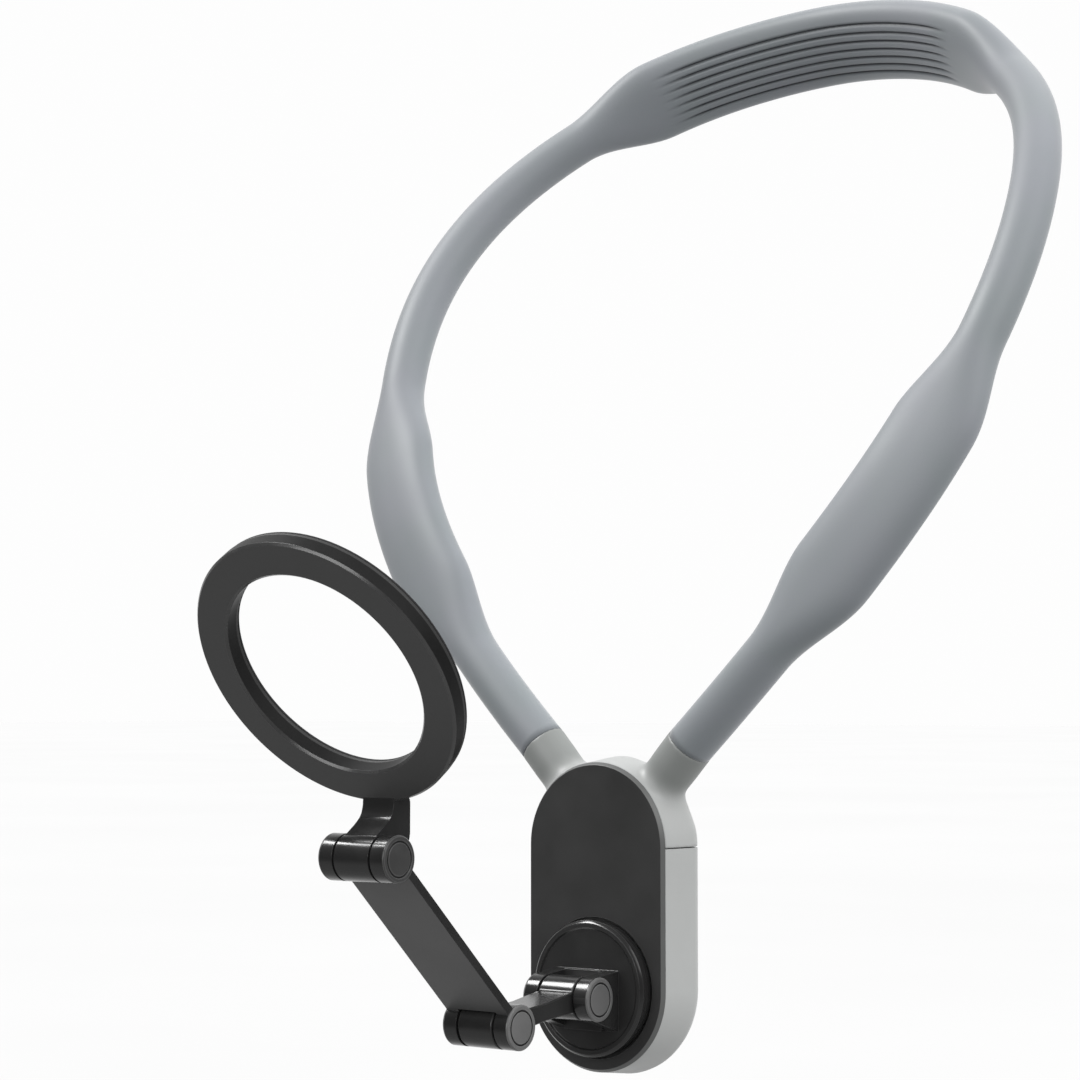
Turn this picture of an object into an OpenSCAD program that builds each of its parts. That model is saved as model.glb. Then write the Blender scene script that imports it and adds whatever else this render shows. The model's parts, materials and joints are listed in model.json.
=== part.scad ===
// Neck-worn holder: a bendable silicone loop hangs a flat chest unit in front of the wearer,
// and a folding arm on a turning disc carries a magnetic ring.
// Lengths are in millimetres. +X is right, -Y is away from the wearer's chest, +Z is up.
// The origin is where the nape of the neck touches the middle of the back pad.

/* [Front plate] */
// Width of the black front plate across its face
plate_w = 33.2; // [31:0.2:42]
// Distance between the centres of the plate's two round ends
plate_span = 28.8; // [27:0.2:42]
// Thickness of the plate's bevelled lip, in front of the housing
lip_t = 0.9; // [0.6:0.1:1.4]
// Sideways run of the bevel round the plate
bevel_run = 0.6; // [0.3:0.1:0.9]
// Thickness of the part of the plate that drops into the housing
plate_drop = 1.3; // [1.1:0.1:2]
// Gap all round between the plate and the housing wall
plate_clear = 0.2; // [0.1:0.05:0.4]
// Thickness of the adhesive film behind the plate
tape_t = 0.2; // [0.1:0.05:0.4]

/* [Housing] */
// Depth of the chest housing behind the plate's face
housing_d = 13; // [12.4:0.2:18]
// How far each side flares outwards from the front edge to the back
housing_flare = 1.1; // [0.2:0.1:2]
// Radius of the rounded back edge
back_round = 3.4; // [2:0.2:4]
// Thickness of the housing walls
wall = 1.6; // [1.3:0.1:1.9]
// Width of the parting line between the lower and upper housing
parting_gap = 0.15; // [0.1:0.05:0.3]
// Thickness of the metal inner frame
frame_t = 1.5; // [1.3:0.1:2]
// Gap between the inner frame and the housing walls
frame_clear = 0.3; // [0.2:0.1:0.6]
// Radius of the housing screws' shanks
case_screw_r = 1; // [0.8:0.1:1.2]
// Radius of the housing screws' heads
case_head_r = 1.9; // [1.6:0.1:2.1]
// Thickness of the housing screws' heads
case_head_t = 0.9; // [0.6:0.1:1]
// Radius of the screw bosses inside the housing
boss_r = 2.5; // [2.3:0.1:2.8]

/* [Collars] */
// Angle of each collar above the horizontal
collar_angle = 47.5; // [44:0.5:52]
// Outer diameter of the collars and of the round strap
strap_d = 10; // [9.4:0.2:11]
// Distance from the upper end's centre to the collar's mouth
collar_reach = 28; // [24:0.5:34]
// Depth of the collar's axis behind the plate's face
collar_depth = 7.2; // [6.8:0.1:8]
// Width of the fillet at the foot of each collar
collar_fillet = 1.8; // [0.6:0.1:3]

/* [Strap] */
// Width of the loop between the strap's centre lines
loop_w = 156.6; // [130:0.5:180]
// Height from the collar mouths to the top of the loop
loop_rise = 162.7; // [140:0.5:190]
// Distance from the collars back to the nape
loop_depth = 88.1; // [74:0.5:105]
// Width of the two flat pads that lie on the chest
chest_pad_w = 18.8; // [14:0.2:24]
// Thickness of the chest pads
chest_pad_t = 9; // [8:0.2:10]
// Arc length from the collar to the start of a chest pad's swell
chest_pad_from = 26; // [18:1:34]
// Length of a chest pad with both its swells
chest_pad_len = 78; // [60:1:90]
// Width of the pad behind the neck
nape_pad_w = 19.4; // [15:0.2:25]
// Thickness of the pad behind the neck
nape_pad_t = 9.6; // [8.4:0.2:11]
// Half length of the nape pad with its swell
nape_pad_half = 68; // [56:1:80]
// Length over which a pad swells to its full width
swell_len = 22; // [14:1:26]
// Number of grooves along the nape pad
groove_count = 7; // [3:1:7]
// Distance between the grooves
groove_pitch = 2; // [1.6:0.1:2.2]
// Depth of the grooves
groove_depth = 0.7; // [0.3:0.1:1]
// Diameter of the bendable core
core_d = 4.6; // [3.6:0.2:5]
// Gap between the core and the sleeve round it
core_clear = 0.15; // [0.1:0.05:0.3]
// Diameter of the sleeve's spigot inside each collar
spigot_d = 7; // [6.4:0.1:7.4]
// Length of the sleeve's spigot
spigot_len = 6; // [4:0.5:8]

/* [Turning disc] */
// Diameter of the turning disc
disc_d = 27.8; // [25:0.2:29]
// Height of the disc's rim above the plate's face
disc_rise = 2.7; // [2.2:0.1:4]
// Width of the raised rim round the disc
disc_rim_w = 1.4; // [0.8:0.1:2]
// Depth of the recess in the plate that the disc sits in
recess_depth = 0.8; // [0.5:0.1:1.1]
// Width of the dark groove round the disc
disc_groove = 0.5; // [0.3:0.1:0.8]
// Radius of the hub that turns in the plate
hub_r = 5; // [4.5:0.1:6]
// Radial running clearance of the hub and of the hinge screws
run_clear = 0.05; // [0.02:0.01:0.1]
// Gap beside a face that slides on another
face_clear = 0.06; // [0.04:0.01:0.1]
// Radius of the screw that holds the disc
disc_screw_r = 1.5; // [1.2:0.1:2]

/* [Arm] */
// Distance from the base hinge to the elbow hinge
short_len = 25.5; // [22:0.5:34]
// Distance from the elbow hinge to the ring hinge
long_len = 49.6; // [40:0.5:62]
// Distance of the base hinge in front of the plate's face
base_out = 9; // [8.4:0.1:12]
// Distance of the base hinge below the disc's centre
base_drop = 1.2; // [0:0.1:2]
// Resting angle of the short link below the horizontal
short_tilt = 7.4; // [0:0.2:12]
// Resting angle of the long link above the horizontal
long_tilt = 43.3; // [38:0.5:50]
// Width of the long link's flat plate
link_w = 15.3; // [14.4:0.1:16.2]
// Thickness of the long link's flat plate
link_t = 1.8; // [1.4:0.1:2.6]
// Thickness of the short link's web
web_t = 4.4; // [3:0.2:5.4]

/* [Hinges] */
// Diameter of the hinge barrels
barrel_d = 8.9; // [7.6:0.1:9.2]
// Width of the middle barrel
barrel_w = 8.4; // [7:0.2:9]
// Width of each groove beside the middle barrel
side_gap = 0.5; // [0.4:0.05:0.7]
// Width of each ear
ear_w = 3; // [2.8:0.1:3.6]
// Thickness of the end caps
cap_t = 0.5; // [0.4:0.1:1]
// Radius of the hinge screws
pin_r = 1.5; // [1.2:0.1:1.6]
// Radius of the hinge screws' heads
head_r = 2.5; // [2.2:0.1:2.6]
// Thickness of a hinge screw's head and of its nut
head_t = 1.2; // [1:0.1:1.3]

/* [Magnet ring] */
// Outer diameter of the ring
ring_d = 57; // [54:0.5:62]
// Diameter of the hole through the ring
ring_hole_d = 43; // [40:0.5:44]
// Thickness of the whole ring
ring_t = 4.5; // [4.2:0.1:6]
// Thickness of the soft pad on the ring's back
pad_t = 0.7; // [0.5:0.1:1]
// Lean of the ring's top away from the chest
ring_tilt = 34.3; // [28:0.5:40]
// Distance along the ring from its hinge to its centre
ring_reach = 34.6; // [33.6:0.2:40]
// Distance of the ring's front face behind its hinge
ring_setback = 9; // [8:0.2:10]
// Number of magnets round the ring
magnet_count = 18; // [12:2:36]
// Thickness of the magnets
magnet_t = 1.6; // [1:0.1:1.8]
// Thickness of the steel backing ring
yoke_t = 0.5; // [0.3:0.1:0.7]

/* [Hidden] */
$fn = 96;

// How far a cutting shape runs past what it cuts
overrun = 1;
// Clearance between two pieces that stay together
fit_clear = 0.02;

// Places of the loop, seen from the disc's centre on the plate's face
collar_dir = [cos(collar_angle), 0, sin(collar_angle)];
seam_at = [0, collar_depth, plate_span] + collar_reach * collar_dir;
nape_mid = [0, seam_at[1] + loop_depth, seam_at[2] + loop_rise];
// Slope of the loop where it goes round the nape, below the horizontal
nape_slope = 36.7;
nape_in = [0, -cos(nape_slope), -sin(nape_slope)];
// The disc's centre on the plate's face, seen from the origin
chest_at = -(nape_mid + nape_in * nape_pad_t / 2);

// Everything rigid is drawn as seen from the front: X right, Y up, Z out of the chest
module on_chest() {
    translate(chest_at) rotate([90, 0, 0]) children();
}

// Housing levels, measured out of the plate's face
lip_r = plate_w / 2 + bevel_run;
plate_back = -(lip_t + plate_drop);
frame_front = plate_back - tape_t;
frame_back = frame_front - frame_t;
back_inside = wall - housing_d;
inner_r = lip_r - wall;
frame_r = inner_r - frame_clear;

// Points of an arc about a centre, from one angle to another
function polar(r, a) = r * [cos(a), sin(a)];
function arc(c, r, a0, a1, n) = [for (i = [0 : n]) c + polar(r, a0 + (a1 - a0) * i / n)];
round_steps = 6;

// A half profile [distance from the middle, level] carried round the lower end, the sides and the upper end
module lower_end(profile) {
    rotate([0, 0, 180]) rotate_extrude(angle = 180) polygon(profile);
}
module upper_end(profile) {
    translate([0, plate_span, 0]) rotate_extrude(angle = 180) polygon(profile);
}
module sides(profile) {
    translate([0, plate_span, 0])
        rotate([90, 0, 0])
            linear_extrude(plate_span)
                union() {
                    polygon(profile);
                    mirror([1, 0]) polygon(profile);
                }
}
module stadium(profile) {
    union() {
        lower_end(profile);
        sides(profile);
        upper_end(profile);
    }
}
// A flat stadium slab between two levels
function slab(r, low, high) = [[0, low], [r, low], [r, high], [0, high]];

back_r = lip_r + housing_flare;
function shell_outline() = concat(
    [[0, -housing_d]],
    arc([back_r - back_round, back_round - housing_d], back_round, -90, 0, round_steps),
    [[lip_r, -lip_t], [0, -lip_t]]
);
function shell_inside() = concat(
    [[0, back_inside]],
    arc([back_r - back_round, back_round - housing_d], back_round - wall, -90, 0, round_steps),
    [[inner_r, overrun], [0, overrun]]
);

// Screw places: four in the lower housing, three in the upper
screw_ring = inner_r - boss_r - frame_clear;
low_screw_angle = -33;
side_screw_drop = 5;
high_screw_angle = 18;
upper_middle = [0, plate_span];
low_screws = [
    for (s = [-1, 1]) polar(screw_ring, 90 + s * (90 - low_screw_angle)),
    for (s = [-1, 1]) [s * screw_ring, plate_span - side_screw_drop]
];
high_screws = [for (a = [high_screw_angle, 90, 180 - high_screw_angle]) upper_middle + polar(screw_ring, a)];

module bosses(places) {
    for (p = places)
        translate([p[0], p[1], back_inside - wall / 2])
            cylinder(r = boss_r, h = frame_back - back_inside + wall / 2);
}
// Depth to which a housing screw reaches behind the frame
case_screw_len = 6;
module boss_holes(places) {
    for (p = places)
        translate([p[0], p[1], frame_back - case_screw_len])
            cylinder(r = case_screw_r + fit_clear, h = case_screw_len + overrun);
}

module lower_housing() {
    color("silver") on_chest() difference() {
        union() {
            difference() {
                union() {
                    lower_end(shell_outline());
                    sides(shell_outline());
                }
                stadium(shell_inside());
                translate([-plate_w, plate_span - parting_gap, -housing_d - overrun])
                    cube([2 * plate_w, parting_gap + overrun, housing_d + 2 * overrun]);
            }
            bosses(low_screws);
        }
        boss_holes(low_screws);
    }
}

// Places a shape drawn along Z on the axis of each collar, Z pointing out of the collar's mouth
module at_collars() {
    for (side = [-1, 1])
        translate([0, plate_span, -collar_depth])
            rotate([0, 0, side * (collar_angle - 90)])
                rotate([-90, 0, 0])
                    children();
}
collar_r = strap_d / 2;
collar_foot_r = collar_r + collar_fillet;
collar_root = sqrt(pow(back_r, 2) - pow(collar_foot_r, 2));
collar_start = inner_r - wall;
// How far the foot's flare may stand behind the collar itself
foot_proud = 0.2;
module collars() {
    intersection() {
        at_collars()
            rotate_extrude()
                polygon(concat(
                    [[0, collar_start], [collar_foot_r, collar_start]],
                    arc([collar_foot_r, collar_root + collar_fillet], collar_fillet, 270, 180, round_steps),
                    [[collar_r, collar_reach], [0, collar_reach]]
                ));
        translate([-collar_reach - collar_r, 0, -collar_depth - collar_r - foot_proud])
            cube([
                2 * (collar_reach + collar_r), plate_span + collar_reach + collar_r,
                collar_depth + collar_r + foot_proud - lip_t
            ]);
    }
}
spigot_clear = 0.1;
module collar_bores() {
    at_collars() {
        cylinder(r = core_d / 2 + core_clear, h = collar_reach + overrun);
        translate([0, 0, collar_reach - spigot_len - spigot_clear])
            cylinder(r = spigot_d / 2 + spigot_clear, h = spigot_len + spigot_clear + overrun);
    }
}

module shoulder_housing() {
    color("silver") on_chest() difference() {
        union() {
            difference() {
                union() {
                    upper_end(shell_outline());
                    collars();
                }
                stadium(shell_inside());
            }
            bosses(high_screws);
        }
        collar_bores();
        boss_holes(high_screws);
    }
}

module front_plate() {
    seat_r = inner_r - plate_clear;
    color("dimgray") on_chest() difference() {
        stadium([
            [0, 0], [plate_w / 2, 0], [lip_r, -lip_t],
            [seat_r, -lip_t], [seat_r, plate_back], [0, plate_back]
        ]);
        translate([0, 0, -recess_depth]) cylinder(r = disc_d / 2 + disc_groove, h = recess_depth + overrun);
        translate([0, 0, plate_back - overrun]) cylinder(r = hub_r + run_clear, h = -plate_back + overrun);
    }
}

// Space round the turning hub, where the film keeps clear of it
tape_clear = 1.5;
module plate_tape() {
    color("lightyellow") on_chest() difference() {
        stadium(slab(frame_r, frame_front, plate_back));
        translate([0, 0, frame_front - overrun]) cylinder(r = hub_r + tape_clear, h = tape_t + 2 * overrun);
    }
}

// Places of the two screws that hold the clamp, along the collars' axes
clamp_screw_at = 9.2;
clamp_places = [for (a = [collar_angle, 180 - collar_angle]) upper_middle + polar(clamp_screw_at, a)];
all_screws = concat(low_screws, high_screws, clamp_places);
head_clear = 0.1;
module inner_frame() {
    color("lightsteelblue") on_chest() difference() {
        stadium(slab(frame_r, frame_back, frame_front));
        translate([0, 0, frame_back - overrun]) cylinder(r = hub_r + run_clear, h = frame_t + 2 * overrun);
        for (p = all_screws) {
            translate([p[0], p[1], frame_front - case_head_t])
                cylinder(r = case_head_r + head_clear, h = case_head_t + overrun);
            translate([p[0], p[1], frame_back - overrun])
                cylinder(r = case_screw_r + head_clear, h = frame_t + 2 * overrun);
        }
    }
}

module case_screw(at, reach) {
    translate([at[0], at[1], frame_front - case_head_t]) cylinder(r = case_head_r, h = case_head_t);
    translate([at[0], at[1], frame_front - case_head_t - reach])
        cylinder(r = case_screw_r, h = reach + fit_clear);
}
module housing_screws() {
    color("gainsboro") on_chest()
        for (p = concat(low_screws, high_screws)) case_screw(p, case_screw_len);
}

// The clamp has one arm behind each collar, with the core's end in it
clamp_w = 6.8;
clamp_end = 13.5;
clamp_hub_r = 5;
core_end = 4.5;
clamp_floor = 0.6;
module core_clamp() {
    low = back_inside + clamp_floor;
    color("gray") on_chest() difference() {
        union() {
            translate([0, plate_span, low]) cylinder(r = clamp_hub_r, h = frame_back - low);
            for (side = [-1, 1])
                translate([0, plate_span, low])
                    rotate([0, 0, side * (collar_angle - 90)])
                        translate([-clamp_w / 2, 0, 0]) cube([clamp_w, clamp_end, frame_back - low]);
        }
        at_collars()
            translate([0, 0, core_end - fit_clear])
                cylinder(r = core_d / 2 + run_clear, h = clamp_end);
        for (p = clamp_places)
            translate([p[0], p[1], -collar_depth]) cylinder(r = case_screw_r + fit_clear, h = collar_depth);
    }
}
module clamp_screws() {
    reach = collar_depth - core_d / 2 - run_clear + frame_front - case_head_t;
    color("gainsboro") on_chest()
        for (p = clamp_places) case_screw(p, reach);
}

// The loop: each half is a smooth curve led by points that are shares of the loop's size
half_shares = [
    [0.735, 0.006, 0.228],
    [0.980, 0.179, 0.456],
    [1.028, 0.413, 0.686],
    [0.856, 0.700, 0.859],
    [0.438, 0.926, 0.978],
    [0.107, 1.000, 1.000],
    [0.000, 1.000, 1.000]
];
guide = concat(
    [seam_at],
    [for (q = half_shares) [q[0] * loop_w / 2, seam_at[1] + q[1] * loop_depth, seam_at[2] + q[2] * loop_rise]]
);
degree = 3;
spans = len(guide) - degree;
knots = concat([for (i = [1 : degree]) 0], [for (i = [0 : spans]) i / spans], [for (i = [1 : degree]) 1]);
function ratio(top, bottom) = bottom == 0 ? 0 : top / bottom;
function weight(i, p, t) = p == 0
    ? ((knots[i] <= t && t < knots[i + 1]) ? 1 : 0)
    : ratio(t - knots[i], knots[i + p] - knots[i]) * weight(i, p - 1, t)
        + ratio(knots[i + p + 1] - t, knots[i + p + 1] - knots[i + 1]) * weight(i + 1, p - 1, t);
function add(list, i = 0) = i == len(list) - 1 ? list[i] : list[i] + add(list, i + 1);
function curve(t) = add([for (i = [0 : len(guide) - 1]) guide[i] * weight(i, degree, min(t, 1 - 1e-9))]);

// Arc length along the half loop, from the collar's mouth to the middle of the nape
samples = 120;
trail = [for (i = [0 : samples]) curve(i / samples)];
function step_at(i) = i < samples ? norm(trail[i + 1] - trail[i]) : 0;
gone = [for (i = 0, d = 0; i <= samples; d = d + step_at(i), i = i + 1) d];
half_len = gone[samples];
arc_table = [for (i = [0 : samples]) [gone[i], i / samples]];
function along(s) = s < 0 ? seam_at + s * collar_dir : curve(lookup(s, arc_table));
function unit(v) = v / norm(v);
probe = half_len / samples;
function heading(s) = s <= 0 ? collar_dir
    : s >= half_len ? [-1, 0, 0]
    : unit(along(min(s + probe, half_len)) - along(s - min(s, probe)));

// A smooth step from 0 to 1
function ease(t) = t <= 0 ? 0 : t >= 1 ? 1 : t * t * (3 - 2 * t);
chest_pad_to = chest_pad_from + chest_pad_len;
function chest_swell(s) = ease((s - chest_pad_from) / swell_len) * ease((chest_pad_to - s) / swell_len);
function nape_swell(s) = ease((s - half_len + nape_pad_half) / swell_len);
function half_width(s) = strap_d / 2
    + (chest_pad_w - strap_d) / 2 * chest_swell(s) + (nape_pad_w - strap_d) / 2 * nape_swell(s);
function half_thick(s) = strap_d / 2
    + (chest_pad_t - strap_d) / 2 * chest_swell(s) + (nape_pad_t - strap_d) / 2 * nape_swell(s);
groove_half = nape_pad_half - swell_len;
groove_fade = swell_len / 2;
function groove_at(s) = ease((s - half_len + groove_half) / groove_fade);

// The strap's inner side faces the chest, then the side of the neck, then the nape
turn_len = 40;
nape_turn = half_len - nape_pad_half - turn_len;
function inward(s) =
    let (a = ease((s - chest_pad_to) / turn_len))
    let (b = ease((s - nape_turn) / (turn_len + swell_len / 4)))
    let (n = (1 - a) * [0, 1, 0] + a * (1 - b) * [-1, 0, 0] + a * b * nape_in)
    let (h = heading(s))
    unit(n - (n * h) * h);

// Unit section: grooved inner side first, then the rest of the oval
groove_share = 0.5;
groove_edge_share = ((groove_count - 1) / 2 + groove_share / 2) * groove_pitch / (nape_pad_w / 2);
oval_steps = 17;
oval_from = 180 - acos(groove_edge_share);
function groove_mark(k, e) =
    acos((k - (groove_count - 1) / 2 + e * groove_share / 2) * groove_pitch / (nape_pad_w / 2));
marks = concat(
    [for (k = [groove_count - 1 : -1 : 0]) for (e = [1, 0, -1]) [groove_mark(k, e), e == 0 ? 1 : 0]],
    [for (j = [1 : oval_steps]) [oval_from + j * (360 - 2 * (oval_from - 90)) / (oval_steps + 1), 0]]
);
pad_power = 0.35;
function power(s) = 2 + pad_power * max(chest_swell(s), nape_swell(s));
function signed_pow(x, p) = sign(x) * pow(abs(x), p);
function oval(a, p) = abs(sin(a)) < 1e-9 ? [sign(cos(a)), 0]
    : a > 0 && a < 180 && abs(cos(a)) <= groove_edge_share + 1e-6
        ? [cos(a), pow(1 - pow(abs(cos(a)), p), 1 / p)]
        : [signed_pow(cos(a), 2 / p), signed_pow(sin(a), 2 / p)];
function section(s, w, t, p, g) =
    let (h = heading(s))
    let (n = inward(s))
    let (across = cross(h, n))
    [for (m = marks)
        let (q = oval(m[0], p))
        chest_at + along(s) + across * (w * q[0]) + n * (t * q[1] - g * m[1])];

// Places of the rings along half the loop: more of them where the strap swells
stops = [
    0, chest_pad_from, chest_pad_from + swell_len, chest_pad_to - swell_len, chest_pad_to,
    half_len - nape_pad_half, half_len - nape_pad_half + swell_len, half_len
];
stretch_rings = [3, 6, 4, 6, 8, 6, 6];
half_rings = concat(
    [for (k = [0 : len(stretch_rings) - 1]) for (i = [0 : stretch_rings[k] - 1])
        stops[k] + (stops[k + 1] - stops[k]) * i / stretch_rings[k]],
    [half_len]
);
// The other half is the mirror image, so the loop is closed by running back
function mirrored(ring) = [for (p = ring) [-p[0], p[1], p[2]]];
function both_halves(rings) = concat(rings, [for (i = [len(rings) - 2 : -1 : 0]) mirrored(rings[i])]);
function flat(lists) = [for (l = lists) for (p = l) p];
function skin(first, n, rings, outward) = [
    for (i = [0 : rings - 2]) for (j = [0 : n - 1])
        let (a = first + i * n + j)
        let (b = first + i * n + (j + 1) % n)
        for (tri = [[a, b, b + n], [a, b + n, a + n]])
            outward ? tri : [tri[2], tri[1], tri[0]]
];

bore_marks = [for (j = [0 : 7]) 22.5 + 45 * j];
function round_ring(s, r) =
    let (h = heading(s))
    let (n = inward(s))
    let (across = cross(h, n))
    [for (a = bore_marks) chest_at + along(s) + r * (across * cos(a) + n * sin(a))];
function nearest(a) = floor((a - bore_marks[0]) / 45 + 0.5);

module strap_core() {
    ends = [core_end - collar_reach, -spigot_len];
    rings = both_halves([for (s = concat(ends, half_rings)) round_ring(s, core_d / 2)]);
    n = len(bore_marks);
    last = (len(rings) - 1) * n;
    color("lightgray") polyhedron(
        points = flat(rings),
        faces = concat(
            skin(0, n, len(rings), true),
            [[for (j = [n - 1 : -1 : 0]) j]],
            [[for (j = [0 : n - 1]) last + j]]
        )
    );
}

module strap_sleeve() {
    spigot = [for (s = [-spigot_len, 0]) section(s, spigot_d / 2, spigot_d / 2, 2, 0)];
    outer = both_halves(concat(
        spigot,
        [for (s = half_rings) section(s, half_width(s), half_thick(s), power(s), groove_depth * groove_at(s))]
    ));
    bore = both_halves([for (s = concat([-spigot_len], half_rings)) round_ring(s, core_d / 2 + core_clear)]);
    n = len(marks);
    m = len(bore_marks);
    bore_first = len(outer) * n;
    outer_last = (len(outer) - 1) * n;
    bore_last = bore_first + (len(bore) - 1) * m;
    // Each end of the sleeve is a flat ring between the outside and the bore
    rim = [for (j = [0 : n - 1])
        let (k = nearest(marks[j][0]))
        let (l = nearest(marks[(j + 1) % n][0] + (j == n - 1 ? 360 : 0)))
        let (next = (j + 1) % n)
        for (tri = k == l ? [[j, next, -1 - k % m]] : [[j, next, -1 - k % m], [next, -1 - l % m, -1 - k % m]])
            tri];
    function placed(tri, o, b) = [for (i = tri) i >= 0 ? o + i : b - 1 - i];
    color("lightslategray") polyhedron(
        points = concat(flat(outer), flat(bore)),
        faces = concat(
            skin(0, n, len(outer), true),
            skin(bore_first, m, len(bore), false),
            [for (tri = rim) let (f = placed(tri, 0, bore_first)) [f[2], f[1], f[0]]],
            [for (tri = rim) placed(tri, outer_last, bore_last)]
        )
    );
}

// The turning disc and what holds it
washer_t = 0.3;
disc_bottom = washer_t + face_clear - recess_depth;
disc_dish = 0.4;
disc_chamfer = 0.6;
disc_face = disc_rise - disc_dish;
spring_room = 0.8;
hub_end = frame_back - spring_room;
retainer_t = 0.8;
retainer_r = 7.4;
disc_head_r = 2.8;
disc_head_t = 1.6;
barrel_r = barrel_d / 2;

// Hinge places along the hinge's own axis, from its middle
gap_out = barrel_w / 2 + side_gap;
ear_out = gap_out + ear_w;
cap_plug = 0.5;
pocket_in = ear_out - cap_plug - head_t - head_clear;

// A side view [up, out] drawn as wide as given, about the middle
module across(width) {
    rotate([90, 0, 90]) translate([0, 0, -width / 2]) linear_extrude(width) children();
}
// The same side view drawn from one distance to another, on both sides
module both_sides(from, to) {
    for (side = [-1, 1])
        rotate([90, 0, 90])
            translate([0, 0, side > 0 ? from : -to])
                linear_extrude(to - from)
                    children();
}
module barrel(r, width) {
    rotate([0, 90, 0]) cylinder(r = r, h = width, center = true);
}
// Where a line from point e touches a circle about c, on the given side
function touch(e, c, r, side) =
    let (d = e - c)
    c + polar(r, atan2(d[1], d[0]) + side * acos(r / norm(d)));

// Bores of a pair of ears: shank, round pocket for the head and six-sided pocket for the nut
module ear_bores() {
    nut_pocket_r = head_r / cos(30) + head_clear;
    barrel(pin_r + fit_clear, 2 * ear_out + 2 * overrun);
    rotate([0, 90, 0]) {
        translate([0, 0, pocket_in]) cylinder(r = head_r + head_clear, h = ear_out - pocket_in + overrun);
        translate([0, 0, -ear_out - overrun])
            cylinder(r = nut_pocket_r, h = ear_out - pocket_in + overrun, $fn = 6);
    }
}
module hinge_screw() {
    rotate([0, 90, 0]) union() {
        translate([0, 0, pocket_in]) cylinder(r = head_r, h = head_t);
        translate([0, 0, -pocket_in - head_t]) cylinder(r = pin_r, h = 2 * pocket_in + head_t + fit_clear);
    }
}
module hinge_nut() {
    rotate([0, 90, 0]) translate([0, 0, -pocket_in - head_t]) difference() {
        cylinder(r = head_r / cos(30), h = head_t, $fn = 6);
        translate([0, 0, -overrun]) cylinder(r = pin_r + fit_clear, h = head_t + 2 * overrun);
    }
}
// End caps: a round plate with a fine ring cut in it, and a plug that seats in the ear
cap_ring_r = 3.3;
cap_ring_w = 0.25;
module hinge_caps() {
    for (side = [-1, 1])
        rotate([0, side * 90, 0])
            rotate_extrude()
                polygon([
                    [0, ear_out - cap_plug], [head_r - run_clear, ear_out - cap_plug],
                    [head_r - run_clear, ear_out], [barrel_r, ear_out],
                    [barrel_r, ear_out + cap_t - cap_ring_w], [barrel_r - cap_ring_w, ear_out + cap_t],
                    [cap_ring_r + cap_ring_w, ear_out + cap_t], [cap_ring_r, ear_out + cap_t - cap_ring_w],
                    [cap_ring_r - cap_ring_w, ear_out + cap_t], [0, ear_out + cap_t]
                ]);
}
hinge_washer_r = 3.3;
module hinge_washers() {
    for (side = [-1, 1])
        rotate([0, side * 90, 0])
            translate([0, 0, barrel_w / 2 + face_clear])
                difference() {
                    cylinder(r = hinge_washer_r, h = side_gap - 2 * face_clear);
                    translate([0, 0, -overrun]) cylinder(r = pin_r + run_clear, h = side_gap + 2 * overrun);
                }
}

// The three hinges, each with its own axis along X
base_at = [-base_drop, base_out];
elbow_at = base_at + short_len * [-sin(short_tilt), cos(short_tilt)];
ring_at = elbow_at + long_len * [sin(long_tilt), cos(long_tilt)];
module at_base() {
    on_chest() translate([0, base_at[0], base_at[1]]) children();
}
module at_elbow() {
    on_chest() translate([0, elbow_at[0], elbow_at[1]]) children();
}
module at_ring() {
    on_chest() translate([0, ring_at[0], ring_at[1]]) children();
}

// The bracket on the disc: two ears on a low foot, tapering from the disc to the barrels
bracket_foot_low = 8.2;
bracket_foot_high = 4;
bracket_floor = 1.8;
module bracket_side() {
    low = [-bracket_foot_low, disc_face];
    high = [bracket_foot_high, disc_face];
    union() {
        translate(base_at) circle(r = barrel_r);
        polygon([
            low, touch(low, base_at, barrel_r, -1), base_at, touch(high, base_at, barrel_r, 1), high,
            [bracket_foot_high, disc_bottom], [-bracket_foot_low, disc_bottom]
        ]);
    }
}
module turning_disc() {
    rim_r = disc_d / 2;
    foot_w = 2 * gap_out;
    color("#2b2b2b") difference() {
        union() {
            on_chest() rotate_extrude() polygon([
                [0, hub_end], [hub_r, hub_end], [hub_r, disc_bottom], [rim_r, disc_bottom],
                [rim_r, disc_rise - disc_chamfer], [rim_r - disc_chamfer, disc_rise],
                [rim_r - disc_rim_w, disc_rise], [rim_r - disc_rim_w - disc_dish, disc_face], [0, disc_face]
            ]);
            on_chest() both_sides(gap_out, ear_out) bracket_side();
            on_chest() translate([-foot_w / 2, -bracket_foot_low, disc_bottom])
                cube([foot_w, bracket_foot_low + bracket_foot_high, bracket_floor + disc_face - disc_bottom]);
        }
        at_base() ear_bores();
        on_chest()
            translate([0, 0, hub_end - overrun])
                cylinder(r = disc_screw_r + fit_clear, h = -hub_end + overrun);
    }
}
module disc_washer() {
    color("ivory") on_chest() translate([0, 0, -recess_depth]) difference() {
        cylinder(r = disc_d / 2 - disc_groove, h = washer_t);
        translate([0, 0, -overrun]) cylinder(r = hub_r + head_clear, h = washer_t + 2 * overrun);
    }
}
module disc_spring() {
    color("darkgray") on_chest() translate([0, 0, hub_end + face_clear]) difference() {
        cylinder(r = retainer_r - head_clear, h = spring_room - 2 * face_clear);
        translate([0, 0, -overrun]) cylinder(r = hub_r + head_clear, h = spring_room + 2 * overrun);
    }
}
module disc_retainer() {
    color("gray") on_chest() translate([0, 0, hub_end - retainer_t]) difference() {
        cylinder(r = retainer_r, h = retainer_t);
        translate([0, 0, -overrun]) cylinder(r = disc_screw_r + fit_clear, h = retainer_t + 2 * overrun);
    }
}
disc_screw_bite = 5;
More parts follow.
